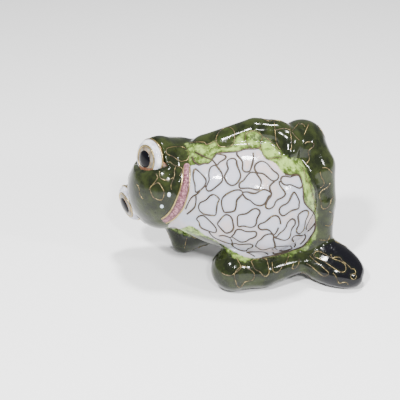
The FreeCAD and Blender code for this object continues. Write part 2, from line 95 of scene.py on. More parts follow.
BELLY_LOOPS = [
    [(-14.4, 30.5), (-12.1, 28.4), (-11.3, 26.9), (-11.9, 25.3), (-13.2, 24.1), (-14.4, 23.7),
     (-14.6, 25.8), (-15.1, 27.8), (-15, 29.6)],
    [(-8.7, 31.6), (-9.7, 31.2), (-10.3, 30.2), (-10.5, 28.7), (-10.4, 27.2), (-11.3, 25),
     (-10.9, 24.1), (-10.1, 24), (-9.1, 24.6), (-6.8, 26.6), (-6.4, 27.8), (-6.6, 29), (-7.3, 30.2),
     (-8.1, 31.2)],
    [(-4.2, 33.5), (-3, 33.6), (-2.3, 32.9), (-2.2, 31.7), (-1.3, 29.3), (-1.2, 28.1), (-1.8, 26.8),
     (-2.7, 25.9), (-3.8, 25.6), (-4.9, 26.2), (-5.6, 27.2), (-5.8, 28.5), (-4.8, 30.5), (-5.1, 31.7),
     (-5, 32.9)],
    [(5.3, 32.8), (6.7, 32.1), (8.5, 30), (9.5, 29.3), (10.1, 28.4), (9.7, 27.4), (8.8, 27),
     (7.8, 27.2), (5.6, 29), (3.7, 29.4), (3, 30.6), (3.3, 31.8), (4.4, 32.6)],
    [(2.2, 29.5), (1.2, 29), (-0.3, 27.1), (-1.2, 26.5), (-1.6, 25.7), (-1.2, 24.8), (1.3, 24.8),
     (3.7, 24.3), (4.4, 24.8), (4.9, 26.8), (3.8, 28.7), (3.3, 29.3)],
    [(-0.6, 23.4), (0.3, 21.9), (1.6, 21.2), (2.6, 20.3), (3.5, 19.8), (4.9, 19.7), (5.9, 20.2),
     (6.6, 21.3), (7, 22.3), (7.9, 23.1), (7.3, 23.8), (6.3, 24.3), (5.1, 24.3), (3.2, 23.3),
     (1.9, 23.4), (0.7, 23.7)],
    [(-6.6, 21.6), (-5.6, 22.8), (-4.3, 23.6), (-2.8, 24.2), (-1.2, 24.2), (-0.6, 23.2), (-2.1, 21.5),
     (-2.4, 20.4), (-2.5, 19.3), (-2.9, 18.2), (-3.9, 17.8), (-5.1, 17.7), (-6, 17.8), (-6.7, 19.8)],
    [(10.8, 27.7), (11.4, 28.3), (12.5, 28.3), (13.6, 28.1), (14.6, 28.5), (15.9, 28.7), (16.5, 28.2),
     (17.3, 25.9), (16.9, 25), (16, 24.9), (13.8, 25.8), (12.4, 25.7), (11.5, 26), (10.8, 26.8)],
    [(14.9, 23.6), (16.3, 21.2), (16.3, 20), (16.1, 18.8), (13.9, 18.1), (11.8, 16.7), (10.9, 16.9),
     (10.3, 17.8), (10.4, 18.8), (11.1, 19.6), (12.2, 20.1), (13.1, 20.9), (14.1, 22.9)],
    [(-9, 22.9), (-8.1, 22.4), (-7.4, 21.5), (-7.8, 20.7), (-8.1, 19.5), (-8.4, 17), (-8.8, 16.7),
     (-11.5, 17), (-12.5, 17.5), (-13.3, 18.3), (-13.5, 19.5), (-13, 20.5), (-11.9, 21), (-11, 21.6),
     (-10.1, 22.6)],
    [(-5.4, 17), (-4.4, 16.7), (-3.6, 15.7), (-3.3, 14.2), (-3.1, 13), (-3.6, 12.1), (-4.4, 11.6),
     (-5.6, 11.6), (-7.3, 13.3), (-7.9, 14.2), (-7.3, 15.2), (-6.4, 16.3)],
    [(-13.5, 16.4), (-12.4, 16.7), (-11.3, 16.1), (-8.9, 13.7), (-8.2, 12.5), (-8.4, 11.6),
     (-9.5, 11.7), (-12.2, 12.7), (-13.1, 13.5), (-13.4, 14.7), (-14.1, 15.6)],
    [(-2, 16.4), (-1.1, 17), (0.2, 17.2), (1.1, 17.6), (2.1, 18.4), (3.1, 18.8), (4.1, 18.5),
     (4.6, 17.6), (3.7, 15.7), (3.6, 14.5), (3.1, 13.6), (1.9, 13.2), (-0.2, 13.6), (-1.5, 13.4),
     (-1.9, 13.7)],
    [(9.9, 10.4), (10.6, 11.3), (11.7, 12.2), (12.5, 13.3), (12.9, 14.5), (13.7, 15.4), (14.4, 15.7),
     (15.2, 15.2), (15.3, 14.1), (14.6, 13.1), (14.2, 12), (14.1, 10.8), (13.6, 9.7), (12.5, 9.2),
     (11.3, 9.4), (9, 10.2)],
    [(16.7, 17.4), (17.7, 18), (18.8, 18.2), (19.5, 17.7), (19.3, 16.5), (18.7, 15.1), (18.4, 12.7),
     (17.7, 11.6), (16.8, 11.1), (16, 11.7), (16, 12.9), (16.5, 14), (16.1, 16.5)],
    [(-3.8, 10.2), (-2.9, 11.2), (-2.5, 12.1), (-1.8, 12.6), (-0.8, 12.5), (0.4, 12), (1.8, 11.9),
     (3, 12), (3.7, 11.6), (3.6, 10.6), (2.8, 10), (1.7, 9.6), (0.9, 9), (-0.3, 8.7), (-1.5, 9),
     (-3.5, 10.3)],
    [(3.8, 7.9), (4.3, 8.9), (5.2, 9.6), (6, 10.6), (7, 11.1), (8.1, 11.2), (8.9, 10.6), (8.9, 9.6),
     (9.6, 7.7), (9.4, 6.9), (8.1, 6.8), (6.7, 6.3), (5.4, 6.3), (4.3, 6.9), (3.7, 7.4)],
    [(-3.4, 8.2), (-2.2, 8.2), (-1, 7.9), (2, 8.1), (2.8, 7.6), (2.5, 6.9), (1.5, 6.6), (1.1, 5.9),
     (0.1, 5.8), (-1.5, 6.3), (-2.9, 7.2), (-3.6, 8)],
    [(9.5, 7), (12.9, 7.3), (15, 6.9), (15.4, 6.3), (13.9, 5.8), (11.9, 5.6)],
]
BELLY_STRANDS = [
    [(-11.3, 25.6), (-12.5, 24.7), (-13.8, 23.2), (-15.2, 22.4), (-16.2, 21.2), (-17.4, 18.6)],
    [(-14.3, 22.5), (-14.3, 21), (-14.6, 19.4), (-15.5, 18.3), (-17, 17.1)],
    [(-9.5, 33.4), (-8.1, 31.7), (-7.3, 32.5), (-5.6, 33.6), (-5.6, 34.5), (-8, 35)],
    [(-2.1, 35.6), (-2.1, 34.7), (-0.7, 32.9), (-0.5, 31.7), (-0.6, 30.5), (-0, 29.7), (0.8, 29.6),
     (1.6, 29.9), (2, 30.9), (2.4, 32.1), (2.7, 33.8), (2.7, 35.3)],
    [(10.3, 26.9), (10.4, 25.7), (12, 23.5), (11.8, 22.6), (10.9, 21.9), (9.9, 21.5), (9.1, 20.7),
     (8.8, 19.8), (8, 19), (7.1, 18.7), (6.3, 19.1), (6.3, 20.1), (6.8, 21.3), (7.6, 22.3),
     (7.9, 23.2), (7.5, 24.3), (7.4, 25.3), (8.1, 26.2), (9, 26.9)],
    [(10.8, 14.2), (10.6, 15.4), (10, 16.4), (9.1, 16.7), (8, 16.4), (6.1, 14.8), (5, 14.4),
     (4.2, 13.8), (4.4, 12.9), (5.3, 12.5), (6.5, 12.6), (7.6, 12.2), (8.8, 11), (9.6, 11.6),
     (10.2, 13.1)],
    [(-3.8, 9.6), (-3.4, 8.6), (-3.1, 7.3)],
    [(-7.4, 10.5), (-6.2, 10.7), (-5, 10.4), (-3.8, 9.9)],
    [(-10.4, 11.7), (-9.5, 10.6), (-8.3, 9.7), (-4.3, 8.2), (-3.4, 8.2)],
    [(1, 5.4), (5.5, 5.6), (6.9, 5.2), (7.9, 4.5)],
    [(1, 5.4), (2.2, 4.9), (3.7, 4)],
    [(8.8, 6.4), (9.5, 5.7), (9.5, 4.8), (10.7, 4.8), (14.5, 5.6)],
    [(16.1, 6.7), (16.4, 7.8), (14.8, 9.3), (15.2, 10.3), (16.3, 10.6), (17.8, 10.5), (19.3, 10.6),
     (19.5, 9.8), (19, 8.8), (17.9, 7.6)],
    [(21.5, 17.7), (20.1, 15.3), (19.1, 12.8), (20.1, 11.9), (20.8, 12.4), (21.5, 13.2), (22.1, 14.3)],
    [(-15.5, 34.2), (-14.9, 32.9), (-14, 32), (-13.4, 31.7), (-11.6, 32.2), (-10.6, 32.1), (-9.5, 33.4)],
    [(-14.6, 35.7), (-11, 33.8), (-9.5, 33.4)],
    [(-9.5, 33.4), (-8.3, 34.9), (-7.1, 35.3), (-2.7, 35.6), (-1.2, 35.9), (0.3, 36.4), (3.3, 36.5),
     (4.8, 36.9)],
    [(12, 29), (13.6, 28.7), (15.1, 28.9), (16.5, 28.5), (17.4, 25.5), (17.8, 21.3), (18.4, 20.1),
     (19.3, 19.1), (21.6, 17.1), (22.3, 14.6), (22.2, 12.1), (20.9, 9.7), (19.7, 8.1), (17.9, 6.6),
     (11.6, 4.6), (5.9, 3.7)],
]
LIP_STRANDS = [
    [(-17.9, 31.2), (-18.5, 26.7), (-19.1, 24.3), (-20, 21.9), (-21.2, 19.2), (-22.7, 17.1),
     (-24.6, 15.6)],
    [(-16.1, 31.4), (-16.1, 27.8), (-16.4, 24.3), (-17, 21.9), (-17.9, 19.2), (-19.4, 17.1),
     (-21.3, 15.3), (-23.4, 14.3)],
]
GREEN_LOOPS = [
    [(-23.1, 36.3), (-23, 36.7), (-21.5, 37.2), (-18.6, 37.4), (-17, 36.4), (-16.4, 35.1),
     (-16.7, 33.6), (-17.9, 33), (-19.1, 33), (-21.5, 34.5), (-22.5, 34.8), (-23.2, 35.5)],
    [(-28, 25), (-26.5, 26.1), (-25.4, 26.4), (-24.5, 25.2), (-23.8, 23.7), (-24, 22.2), (-24.7, 21.3),
     (-26.2, 21.6), (-27.3, 22.5)],
    [(-8, 40.7), (-8.3, 39), (-7.4, 37.5), (-5.9, 37.2), (-4.4, 37.2), (-3.2, 38.1), (-2.8, 39.3),
     (-2.9, 42), (-4.6, 43.4), (-6.8, 42.4)],
    [(0.7, 41.1), (0.5, 39.3), (1.3, 37.8), (2.1, 36.7), (3.9, 36.5), (4.9, 37.5), (5.1, 39),
     (5.5, 40.5), (3.6, 41.9), (1.9, 41.8)],
    [(6.1, 40.2), (5.1, 38.8), (5.1, 36.9), (5.6, 35), (6.5, 33.5), (7.7, 33.5), (9.5, 34), (11, 33.7),
     (10.8, 35.4), (9.9, 36.3), (8.8, 38.2)],
    [(-2.2, -0.2), (-1, 1), (0.2, 1.3), (1.8, 0.4), (3.2, -0.7), (3.5, -1.8), (2.8, -3.1), (0.9, -3.5),
     (0, -4.3), (-0.7, -5.4), (-1.7, -5), (-2.3, -3.3), (-2.7, -1.4)],
    [(2.8, 3), (3, 1.5), (3.6, 0.3), (5.2, -0.6), (6.1, -1.7), (7.1, -2), (7.8, -1.3), (8, -0.1),
     (7.4, 2.7), (6.8, 3.4)],
    [(22.1, 4), (24.5, 2.8), (28.9, -0.2), (30.8, -0.8), (31.7, 0.1), (31.4, 1.6), (30, 2.5),
     (27.6, 3.4), (23.5, 5.5)],
    [(34.1, -1.3), (34.7, -1.6), (35, -2.2), (34.7, -2.8), (34, -3.1), (33.4, -2.8), (33.1, -2.2),
     (33.4, -1.5)],
]
GREEN_STRANDS = [
    [(-23.1, 32.3), (-22.1, 32.7), (-21, 31.8), (-19.1, 31.2), (-18.3, 30.3), (-19.2, 28.5)],
    [(-20.3, 31.5), (-20.7, 29.9), (-20.7, 28.5), (-21.7, 25.8), (-21.6, 24.4)],
    [(-25.1, 29.9), (-25, 28.1), (-23.8, 27.3), (-22.3, 27.3), (-20.8, 28.2)],
    [(-26.2, 29.1), (-25.7, 28), (-26.5, 26.7), (-27.7, 25.3), (-28.3, 24.3)],
    [(-32.2, 26.1), (-31.4, 24.9), (-31.3, 23.4), (-30.8, 22.2), (-30.2, 21.6)],
    [(-16.1, 38.7), (-14.3, 38.8), (-11.9, 38.7), (-11, 38), (-8, 39.3)],
    [(9.1, 45.1), (9.5, 39.9), (10, 37.8), (10.9, 36.4)],
    [(14.2, 45), (13.8, 42.2), (14.1, 39.2), (14.1, 36.8), (13.6, 36.2)],
    [(9.6, 42.2), (10.8, 42.5), (12.5, 42.7), (13.8, 42.2)],
    [(14.4, 41.9), (16.8, 44.6)],
    [(14.4, 41.6), (15.2, 40.4), (16.5, 39.2)],
    [(18.1, 40.8), (19.7, 44.3)],
    [(16.8, 44.2), (18, 44.2), (18.5, 43.3)],
    [(18.3, 38.1), (18.9, 38.7), (20.2, 38.7), (21.1, 38.1), (20.8, 37.2), (19.9, 36.6), (19.3, 35.7),
     (19.7, 34.5), (19.7, 33.4), (19.1, 32.5), (18.5, 31.9)],
    [(23.7, 31), (24.6, 31.1), (25.6, 30.8), (27, 29.5)],
    [(23.1, 29.8), (23.5, 28.3), (24.1, 27.4), (24.5, 26.2), (23.9, 25.3), (23.3, 25)],
    [(26.4, 26.5), (25.8, 25.3), (24.2, 24.4), (23.3, 23.4), (23.2, 22.2), (23.7, 21), (23.8, 19.5),
     (24.4, 18.6), (25.7, 18.9), (26.6, 20.1), (26.9, 21.3), (27.6, 22.2)],
    [(26.4, 17.8), (27.5, 17.3), (28, 16.4), (27.7, 14.2), (26.7, 13.3), (25.4, 13.6)],
    [(23.8, 9), (26.6, 8.9), (27.2, 10.5)],
    [(-1.9, 3.7), (-0.8, 1.3), (-1, 0.4), (-3.4, -1.4), (-4.3, -1.6), (-5.5, -1.3), (-6.4, -0.8)],
    [(9, 2.3), (9.2, -0.2), (10.2, -0.9), (11.1, -0.5), (12.1, 0.8), (13.3, 1.9), (14.4, 4.6)],
    [(-17.4, 9.1), (-18.1, 5.8)],
    [(19.8, 1.7), (21.4, 0.7), (24.4, -1.9), (25.6, -2), (26.4, -1.2), (25.6, -0.2), (22.1, 2.8),
     (20.9, 4)],
    [(27.6, 3.4), (28.8, 3.7), (30.1, 3.6), (30.6, 2.7), (32.5, 1.2), (33.4, 0.2), (34.3, 0.1),
     (34.8, -0.8), (34.4, -1.4)],
    [(27.6, 3.4), (27.3, 4.5)],
    [(27.7, -1.1), (28.5, -2), (29.6, -4.2), (30.8, -4), (31.9, -4), (32.4, -4.7)],
    [(17.5, 3.1), (17.3, 1.6), (16.4, 0.3), (15.3, 0.2), (15.7, 1.6)],
    [(17.8, 30.9), (18.9, 27.3), (20.2, 24.9), (22.3, 17.7)],
]
WHITE_FIELD = [
    (-15.5, 31.7), (-10.4, 32.3), (-8, 35), (-5.7, 35.5), (-2.7, 35.8), (2.4, 36.7), (4.8, 36.2),
    (5.6, 34.4), (7.1, 33.2), (9.1, 32.3), (12, 29), (16.4, 28.5), (17.6, 25.5), (17.6, 21.9),
    (19.3, 19.2), (21.6, 16.8), (22.2, 14.3), (22.3, 12.1), (20.9, 9.6), (18.6, 7.1), (14.9, 5.5),
    (11.6, 4.5), (5.3, 3.6), (0.6, 4), (-5.5, 7.2), (-8.5, 9.2), (-11.6, 10.7), (-13.7, 12.3),
    (-16.1, 13.5), (-19.3, 12.4), (-22.1, 12.3), (-22.9, 13.4), (-21.3, 15.3), (-19.4, 17.1),
    (-17.9, 19.2), (-16.4, 24.3), (-16.1, 27.8), (-16.1, 30.8),
]
LIME_FIELD = [
    (-17.3, 37.7), (-16.1, 38.5), (-11, 38), (-8.3, 39), (-7.4, 37.5), (-4.4, 37.2), (-3.2, 38.1),
    (-2.9, 39.3), (-1.1, 41.1), (0.7, 41.7), (3.6, 42.2), (5.5, 40.5), (8.5, 39), (10.8, 35.7),
    (13.7, 33.8), (17, 33.3), (19.6, 27.9), (21.7, 21.3), (22.5, 17.7), (22.7, 11.1), (22.2, 8.9),
    (21.1, 7.3), (19.8, 6), (17.4, 5.8), (15, 4), (11.5, 4.1), (7.8, 3.8), (3.7, 3.3), (1.5, 2.8),
    (-1, 3.1), (-3.4, 4.3), (-6.4, 7.6), (-8.5, 8.9), (-11.6, 10.1), (-14.6, 10.3), (-16.9, 9.8),
    (-19.5, 10.7), (-22.1, 12), (-22.9, 13.4), (-17.3, 22.5), (-16.1, 30.2),
]
LIP_FIELD = [
    (-17.9, 31.8), (-16.1, 31.7), (-16.1, 27.8), (-16.4, 24.3), (-17, 21.9), (-17.9, 19.2),
    (-19.4, 17.1), (-21.3, 15.3), (-23.4, 14.3), (-24.6, 15.6), (-22.7, 17.1), (-21.2, 19.2),
    (-20, 21.9), (-19.1, 24.3), (-18.5, 26.7),
]

EYES = {
    "left": (Vector((-25.2, -1.12, 39.5)) * MM, Vector((-0.78, -0.61, 0.18)).normalized()),
    "right": (Vector((-31.87, 6.28, 21.5)) * MM, Vector((-0.85, -0.49, -0.19)).normalized()),
}
# Half sections of an eye's parts, in millimetres: distance from the eye's axis, height along it.
EYE_SECTIONS = {
    "outer_rim": [(5.45, 3.21), (5.91, 3.21), (6.1, 3.42), (6.1, 3.64), (5.91, 3.85), (5.56, 3.85)],
    "white": [(5.34, 3.32), (5.78, 3.75), (5.76, 4.23), (5.45, 4.76), (5.01, 5.19), (4.58, 5.35),
              (4.2, 5.24), (4.03, 4.82)],
    "inner_rim": [(3.76, 4.92), (4.09, 5.03), (4.27, 5.24), (4.25, 5.48), (4.03, 5.56),
                  (3.76, 5.46)],
    "iris": [(2.18, 4.92), (3.92, 4.92), (3.92, 5.3), (3.49, 5.59), (2.94, 5.8), (2.4, 5.89)],
    "pupil": [(0, 4.92), (2.67, 5.14), (2.73, 5.78), (2.4, 6.06), (1.74, 6.27), (0.87, 6.39),
              (0, 6.42)],
}
NOSTRILS = [((-22.3, 22.9), 0.72, 0.5), ((-24.5, 19.4), 0.62, 0.55)]
EYE_REACH = 8.5 * MM
VENT = (Vector((16.93, 14.04, 21.05)) * MM, Vector((-0.035, 0.961, -0.274)).normalized())
# The vent's parts. The dark one is a black disc flush with the skin: painted shade in place of the hole's
# dark inside, as the skin is filled there.
VENT_SECTIONS = {
    "ring": [(0.75, -0.3), (1.2, -0.3), (1.22, 0.08), (1.05, 0.2), (0.85, 0.16), (0.75, 0.0)],
    "dark": [(0, -0.4), (0.74, -0.4), (0.74, -0.02), (0.4, 0.03), (0, 0.03)],
}

# Balls of enamel where the ankle, the lower leg and the rump flow together, and under the vent.
WEBS = ((VENT[0] - VENT[1] * 0.9 * MM, 1.8), (Vector((19.4, -4.2, 11.4)) * MM, 4.2),
        (Vector((14.2, -4.95, 9.4)) * MM, 3.0))

SKIN_NODES = [name for name in frame["nodes"] if "enamel" in name or "wire" in name
              or "_eye_" in name or name == "nostril_dots"]
WIRE_PIECES = ("belly_wires", "lip_wires", "green_wires", "back_wires")
COPPER_NODES = [name for name in frame["nodes"] if "copper" in name or "shell" in name]
GROUPS = {
    "torso": ("belly_enamel", "back_enamel", "flank_enamel_upper", "flank_enamel_lower"),
    "head": ("head_enamel",),
    "lip": ("lip_enamel",),
    "limbs": ("left_arm_enamel", "right_arm_enamel", "left_leg_enamel", "right_leg_enamel"),
    "feet": ("left_foot_enamel", "right_foot_enamel"),
}
# The cells that back_wires has laid, for enamel_fields to shade.
CELLS = []
LAMPS = {
    "key": ((-0.14, -0.26, 0.36), 0.045, 3.0),
    "second": ((0.05, -0.36, 0.30), 0.03, 1.5),
    "side": ((0.30, -0.22, 0.20), 0.04, 1.0),
    "top": ((0.02, 0.02, 0.45), 0.06, 2.6),
}
LAMPS_AIM = Vector((0, 0, 0.026))
CAMERA_AIM = Vector((-13.1, 0.38, 26.4)) * MM - SHEET_UP * 2.17 * MM
CAMERA_GAP = 0.36
VIEW_WIDE = 0.124


class FrogSizes(bpy.types.PropertyGroup):
    grain: FloatProperty(
        name="Grain", description="Size of the little squares the skin is built from",
        default=0.42 * MM, min=0.2 * MM, max=2 * MM, unit="LENGTH", precision=5)
    flow: IntProperty(
        name="Flow", description="How far the limbs melt into the body", default=30, min=0, max=90)
    fullness: FloatProperty(
        name="Fullness", description="How much the skin is filled out after it has melted",
        default=0.22 * MM, unit="LENGTH", precision=5)
    lip_rise: FloatProperty(
        name="Lip rise", description="How far the lips stand proud", default=0.3 * MM,
        unit="LENGTH", precision=5)
    belly_wire: FloatProperty(
        name="Belly wire", description="Thickness of the wires on the belly", default=0.56 * MM,
        unit="LENGTH", precision=5)
    green_wire: FloatProperty(
        name="Green wire", description="Thickness of the wires on the green enamel",
        default=0.26 * MM, unit="LENGTH", precision=5)
    cells: IntProperty(
        name="Back cells", description="How many wire cells are set out on the back and limbs",
        default=90, min=0, max=200)


def tone(name, description, colour):
    return FloatVectorProperty(name=name, description=description, default=colour,
                               subtype="COLOR", min=0, max=1)


class FrogColours(bpy.types.PropertyGroup):
    white: tone("White", "Belly enamel", (0.39, 0.39, 0.455))
    blush: tone("Blush", "Warm patches in the belly enamel", (0.47, 0.37, 0.34))
    # Blue grey: cool patches in the belly enamel, and also the painted shade next to the wires on the
    # white.
    shadow: tone("Blue grey", "Cool patches in the belly enamel", (0.27, 0.32, 0.38))
    lime: tone("Lime", "Enamel round the belly", (0.26, 0.38, 0.09))
    leaf: tone("Leaf", "Bright grains in the green", (0.046, 0.076, 0.012))
    olive: tone("Olive", "Lighter clouds in the dark green", (0.022, 0.029, 0.008))
    bottle: tone("Bottle green", "The dark green itself", (0.007, 0.0095, 0.004))
    lip: tone("Lip", "Grainy pink of the lips", (0.20, 0.070, 0.095))
    ink: tone("Ink", "Black of the foot", (0.0025, 0.0025, 0.004))
    gold: tone("Gold", "Bright gilt", (0.38, 0.29, 0.12))
    rust: tone("Brown", "Tarnish on the wires", (0.035, 0.022, 0.012))
    copper: tone("Copper", "Bare copper", (0.55, 0.24, 0.13))


def sizes():
    return bpy.context.scene.frog_sizes


def colours():
    return bpy.context.scene.frog_colours


# ---------------------------------------------------------------- meshes

def new_object(name, data):
    thing = bpy.data.objects.new(name, data)
    bpy.context.scene.collection.objects.link(thing)
    return thing


def mesh_from(bm):
    mesh = bpy.data.meshes.new("mesh")
    bm.to_mesh(mesh)
    bm.free()
    return mesh


def add_piece(mesh, name, material, slot, *nodes):
    """Make a mesh a piece of the frog, which stands for the CAD nodes named."""
    mesh.name = name
    for polygon in mesh.polygons:
        polygon.use_smooth = True
    if material:
        mesh.materials.append(material)
    piece = new_object(name, mesh)
    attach(piece, "root")
    if nodes:
        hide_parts(*nodes)


def finished_mesh(source):
    """The mesh that an object's modifiers or bevel make. The object itself is removed."""
    graph = bpy.context.evaluated_depsgraph_get()
    mesh = bpy.data.meshes.new_from_object(source.evaluated_get(graph), depsgraph=graph)
    bpy.data.objects.remove(source)
    return mesh


def mesh_tree(mesh):
    return BVHTree.FromPolygons([v.co for v in mesh.vertices], [p.vertices[:] for p in mesh.polygons])


def melted_skin():
    """Every enamel part in one skin, melted together and smoothed where parts meet."""
    bm = bmesh.new()
    for name in SKIN_NODES + COPPER_NODES:
        bm.from_mesh(frame["nodes"][name].data)
    for place, radius in WEBS:
        bmesh.ops.create_uvsphere(bm, u_segments=24, v_segments=12, radius=radius * MM,
                                  matrix=Matrix.Translation(place))
    block = new_object("rough_skin", mesh_from(bm))
    remesh = block.modifiers.new("Melt", "REMESH")
    remesh.mode = "VOXEL"
    remesh.voxel_size = sizes().grain
    bm = bmesh.new()
    bm.from_mesh(finished_mesh(block))
    drop_inner_walls(bm)
    for _ in range(sizes().flow):
        bmesh.ops.smooth_vert(bm, verts=bm.verts, factor=0.5,
                              use_axis_x=True, use_axis_y=True, use_axis_z=True)
    bm.normal_update()
    floor = BOUNDS[0][2]
    for vert in bm.verts:
        vert.co += vert.normal * sizes().fullness
        vert.co.z = max(vert.co.z, floor)
    sink_under_eyes(bm)
    return mesh_from(bm)


def drop_inner_walls(bm):
    """Keep only the shell that is reached from outside."""
    start = max(bm.verts, key=lambda vert: vert.co.z)
    seen = {start}
    reach = [start]
    while reach:
        vert = reach.pop()
        for edge in vert.link_edges:
            other = edge.other_vert(vert)
            if other not in seen:
                seen.add(other)
                reach.append(other)
    bmesh.ops.delete(bm, geom=[vert for vert in bm.verts if vert not in seen], context="VERTS")


def sink_under_eyes(bm):
    """Press the skin in behind the eyes' own parts, so that it never shows through them."""
    for centre, axis in EYES.values():
        for vert in bm.verts:
            arm = vert.co - centre
            if arm.length < EYE_REACH and arm.dot(axis) > 2.7 * MM:
                vert.co = centre + arm * min(1, 5.6 * MM / arm.length)


def turned(section, centre, axis):
    """A ring or a lens turned about an axis from its half section."""
    bm = bmesh.new()
    verts = [bm.verts.new((out * MM, 0, up * MM)) for out, up in section]
    lens = section[0][0] == 0
    for one, two in zip(verts, verts[1:] if lens else verts[1:] + verts[:1]):
        bm.edges.new((one, two))
    bmesh.ops.spin(bm, geom=bm.verts[:] + bm.edges[:], cent=(0, 0, 0), axis=(0, 0, 1),
                   angle=math.tau, steps=72, use_merge=True)
    bmesh.ops.remove_doubles(bm, verts=bm.verts, dist=0.001 * MM)
    bmesh.ops.recalc_face_normals(bm, faces=bm.faces)
    turn = axis.to_track_quat("Z", "Y").to_matrix().to_4x4()
    bmesh.ops.transform(bm, matrix=Matrix.Translation(centre) @ turn, verts=bm.verts)
    return mesh_from(bm)


def node_gap(places, nodes):
    """How far each place is from the nearest of some nodes, in millimetres."""
    trees = [mesh_tree(frame["nodes"][name].data) for name in nodes]
    return np.array([min(tree.find_nearest(place)[3] for tree in trees) for place in places]) / MM


def smooth_line(points, closed):
    """A smooth line through drawn points."""
    ring = np.array(points, float)
    ends = (ring[-1:], ring[:2]) if closed else (ring[:1], ring[-1:])
    ring = np.vstack([ends[0], ring, ends[1]])
    line = []
    for a, b, c, d in zip(ring, ring[1:], ring[2:], ring[3:]):
        count = max(1, round(math.dist(b, c) / LINE_STEP))
        for t in np.arange(count) / count:
            line.append(0.5 * (2 * b + (c - a) * t + (2 * a - 5 * b + 4 * c - d) * t ** 2
                               + (3 * b - a - 3 * c + d) * t ** 3))
    if not closed:
        line.append(ring[-1])
    return np.array(line)


def skin_tree():
    return mesh_tree(bpy.data.objects["enamel_skin"].data)


def fall(tree, across, up):
    """Where a point of the drawing sheet lands on the skin, and the skin's direction there."""
    start = Vector((across * MM, 0, 0)) + SHEET_UP * up * MM + SHEET_OUT * 0.1
    return tree.ray_cast(start, -SHEET_OUT)[:2]


def press(tree, line, sink):
    """Press a line from the drawing sheet onto the skin. Returns the runs it breaks into."""
    runs = [[]]
    for across, up in line:
        place, normal = fall(tree, across, up)
        if place is None:
            runs.append([])
            continue
        place = place - normal * sink
        if runs[-1] and (place - runs[-1][-1]).length > LEAP:
            runs.append([])
        runs[-1].append(place)
    return [run for run in runs if len(run) > 1]


def wire_piece(name, runs, thickness, material, seed, *nodes):
    """Wires laid along runs of points: (points, closed)."""
    chance = np.random.default_rng(seed)
    curve = bpy.data.curves.new(name, "CURVE")
    curve.dimensions = "3D"
    curve.bevel_depth = thickness / 2
    curve.bevel_resolution = 2
    curve.use_fill_caps = True
    for points, closed in runs:
        spline = curve.splines.new("POLY")
        spline.points.add(len(points) - 1)
        spline.use_cyclic_u = closed
        thick = 1 + 0.12 * chance.standard_normal(len(points) // 4 + 2)
        for index, (point, place) in enumerate(zip(spline.points, points)):
            point.co = (*place, 1)
            point.radius = float(np.interp(index / 4, range(len(thick)), thick))
    mesh = finished_mesh(new_object(name + "_line", curve))
    mesh.materials.clear()
    add_piece(mesh, name, material, "gilt_wire", *nodes)


def drawn_runs(loops, strands, thickness):
    tree = skin_tree()
    runs = []
    for drawing, closed in [(line, True) for line in loops] + [(line, False) for line in strands]:
        parts = press(tree, smooth_line(drawing, closed), thickness * WIRE_SINK)
        whole = closed and len(parts) == 1
        runs += [(part, whole) for part in parts]
    return runs


def wire_tree():
    """Every point of the wires made so far."""
    places = [vert.co for piece in bpy.data.objects if piece.name in WIRE_PIECES
              for vert in piece.data.vertices]
    tree = KDTree(len(places))
    for index, place in enumerate(places):
        tree.insert(place, index)
    tree.balance()
    return tree


def inside(points, outline):
    """How far inside an outline each point is, in millimetres. Outside is negative."""
    ring = smooth_line(outline, True)
    x, y = points[:, 0], points[:, 1]
    within = np.zeros(len(points), bool)
    nearest = np.full(len(points), 1e9)
    for start, end in zip(ring, np.roll(ring, -1, 0)):
        edge = end - start
        reach = points - start
        along = np.clip(reach @ edge / max(edge @ edge, 1e-9), 0, 1)
        nearest = np.minimum(nearest, np.hypot(*(reach - along[:, None] * edge).T))
        spans = (start[1] > y) != (end[1] > y)
        rise = edge[1] if abs(edge[1]) > 1e-9 else 1e-9
        within ^= spans & (x < start[0] + (y - start[1]) * edge[0] / rise)
    return np.where(within, nearest, -nearest)


# ---------------------------------------------------------------- scattered cells

def scattered_cells(tree):
    """Small closed wire loops set out over the skin that the drawing sheet doesn't cover."""
    mesh = bpy.data.objects["enamel_skin"].data
    chance = np.random.default_rng(11)
    taken = wire_tree()
    cells = []
    for index in chance.permutation(len(mesh.polygons)):
        if len(cells) >= sizes().cells:
            break
        face = mesh.polygons[index]
        centre, normal = face.center.copy(), face.normal.copy()
        size = chance.uniform(1.7, 2.7) * MM
        if centre.z < 1.5 * MM or normal.z < -0.93:
            continue
        if normal.dot(SHEET_OUT) > 0.05 and seen_by_sheet(tree, centre, normal):
            continue
        if any((centre - eye).length < EYE_REACH for eye, _ in EYES.values()):
            continue
        if taken.find(centre)[2] < 2.4 * MM or (centre - VENT[0]).length < 4 * MM:
            continue
        if any((centre - other).length < (size + other_size) * 1.12
               for other, _, other_size, _, _ in cells):
            continue
        side = normal.orthogonal().normalized()
        side.rotate(Matrix.Rotation(chance.uniform(0, math.tau), 3, normal))
        long = chance.uniform(1, 1.35)
        wave = chance.uniform(0.05, 0.17, 2)
        phase = chance.uniform(0, 6, 2)
        outline = []
        for turn in np.arange(11) / 11 * math.tau:
            reach = size / MM * (1 + wave[0] * math.cos(2 * turn + phase[0])
                                 + wave[1] * math.cos(3 * turn + phase[1]))
            outline.append((reach * math.cos(turn) * long, reach * math.sin(turn) / long))
        cells.append((centre, normal, size, side, outline))
    return cells


def seen_by_sheet(tree, place, normal):
    """Whether nothing stands between a place on the skin and the sheet."""
    return tree.ray_cast(place + normal * 0.2 * MM, SHEET_OUT)[0] is None


def lay_cell(tree, cell, sink):
    """A cell's loop on the skin, or None where the skin falls away under it."""
    centre, normal, _, side, outline = cell
    up = normal.cross(side)
    points = []
    for across, along in smooth_line(outline, True):
        start = centre + side * across * MM + up * along * MM + normal * 2.5 * MM
        place, facing, _, _ = tree.ray_cast(start, -normal, 7 * MM)
        if place is None or facing.dot(normal) < 0.1:
            return None
        points.append(place - facing * sink)
    return points


# ---------------------------------------------------------------- finishes

